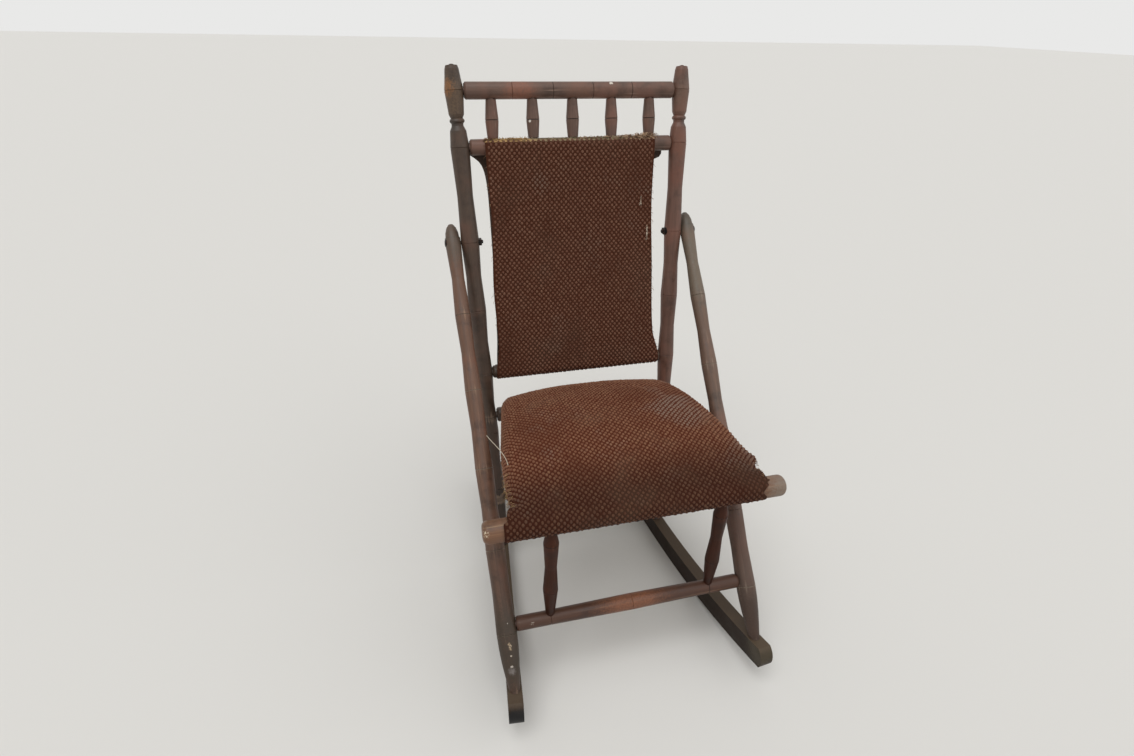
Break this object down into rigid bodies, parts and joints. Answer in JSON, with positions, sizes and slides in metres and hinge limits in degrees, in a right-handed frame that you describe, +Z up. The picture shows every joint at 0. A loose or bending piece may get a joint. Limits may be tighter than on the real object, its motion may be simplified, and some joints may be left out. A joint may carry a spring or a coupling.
{
  "type": "rocking chair",
  "caption": "Carpet-covered rocking chair with ring-turned posts and rails, sloping arms that run down to the curved runners, a stuffed seat and a slung back.",
  "frame": {"origin": "on the floor, midway between the two runners and midway along them", "axes": "+X across the chair towards its right-hand side as seen from the front, +Y from front to back, +Z up"},
  "size_m": [0.488, 0.6548, 0.94],
  "materials": {
    "frame_wood": "old dark stain, worn dull",
    "arm_wood": "old stain, worn paler by hands",
    "rail_wood": "stain worn down to tan wood",
    "runner_wood": "old dark stain, scuffed grey",
    "dark_iron": "dark, dull iron",
    "seat_carpet": "woven carpet, worn",
    "back_carpet": "woven carpet, worn",
    "jute_webbing": "plain woven strip",
    "seat_stuffing": "matted fibre"
  },
  "bodies": {
    "root": {"left_rocker": "runner_wood", "right_rocker": "runner_wood", "left_back_post": "frame_wood", "right_back_post": "frame_wood", "left_arm": "arm_wood", "right_arm": "arm_wood", "left_arm_bolt": "dark_iron", "right_arm_bolt": "dark_iron", "left_arm_washer": "dark_iron", "right_arm_washer": "dark_iron", "left_arm_nut": "dark_iron", "right_arm_nut": "dark_iron", "front_seat_rail": "rail_wood", "rear_seat_rail": "rail_wood", "left_seat_rail": "rail_wood", "right_seat_rail": "rail_wood", "front_stretcher": "frame_wood", "rear_stretcher": "frame_wood", "left_front_spindle": "frame_wood", "right_front_spindle": "frame_wood", "top_rail": "frame_wood", "upper_back_rail": "frame_wood", "lower_back_rail": "frame_wood", "back_spindle_1": "frame_wood", "back_spindle_2": "frame_wood", "back_spindle_3": "frame_wood", "back_spindle_4": "frame_wood", "back_spindle_5": "frame_wood", "seat_webbing": "jute_webbing", "seat_stuffing": "seat_stuffing", "seat_carpet": "seat_carpet", "back_carpet": "back_carpet"}
  },
  "joints": []
}
